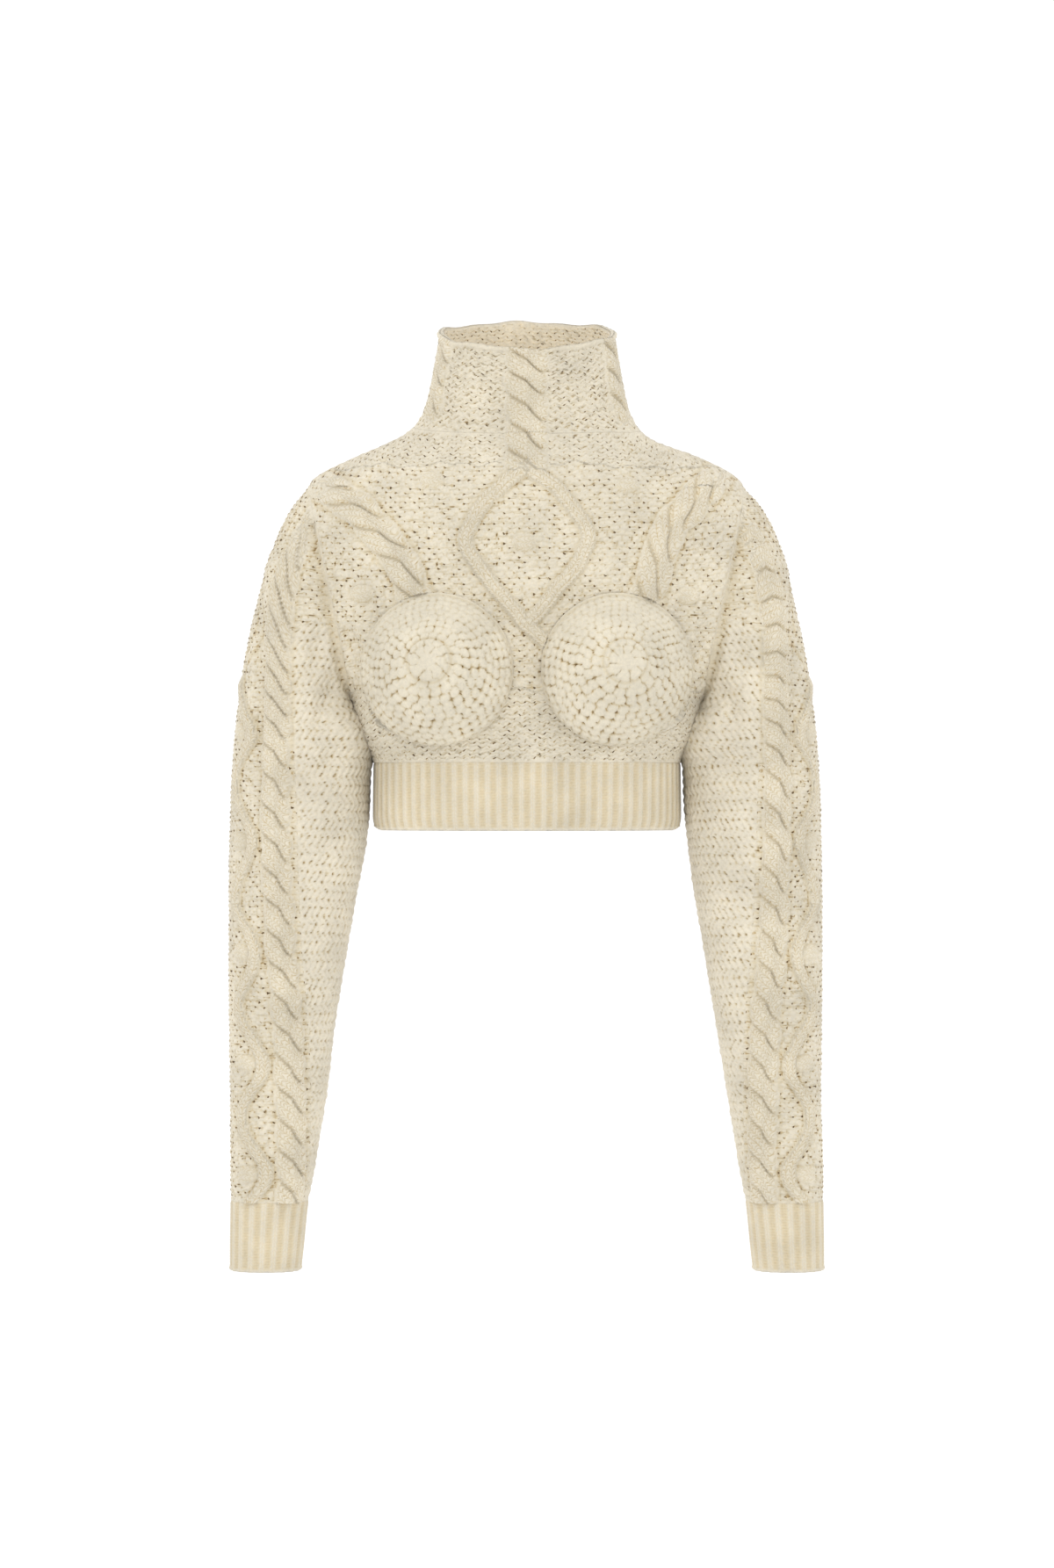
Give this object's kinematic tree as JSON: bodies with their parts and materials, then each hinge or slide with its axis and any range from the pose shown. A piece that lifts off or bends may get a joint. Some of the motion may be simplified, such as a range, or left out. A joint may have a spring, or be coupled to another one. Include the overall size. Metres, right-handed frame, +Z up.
{
  "type": "cropped cable-knit sweater",
  "caption": "Cropped long-sleeved pullover in chunky cable knit with a funnel neck, ribbed hem and cuffs and round crocheted cups, held in its worn form.",
  "frame": {"origin": "on the middle of the body, at the height of the front's neck seam, where the wearer's neck and shoulders hold the garment", "axes": "+Z up along the wearer, -Y the way the front faces, +X to the right as seen from the front"},
  "size_m": [0.5144, 0.2487, 0.8299],
  "materials": {
    "cable_knit": "chunky cream cotton and wool yarn in cables over reverse stocking stitch, matt and slightly marled",
    "rib_knit": "two-by-two rib in a finer cream yarn, matt, warmer in the troughs",
    "crochet": "thick cream yarn crocheted in tight rounds, matt"
  },
  "bodies": {
    "root": {"front": "cable_knit", "back": "cable_knit", "collar": "cable_knit", "sleeve_left": "cable_knit", "sleeve_right": "cable_knit", "hem_rib_front": "rib_knit", "hem_rib_back": "rib_knit", "cuff_left": "rib_knit", "cuff_right": "rib_knit", "cup_left": "crochet", "cup_right": "crochet"}
  },
  "joints": []
}
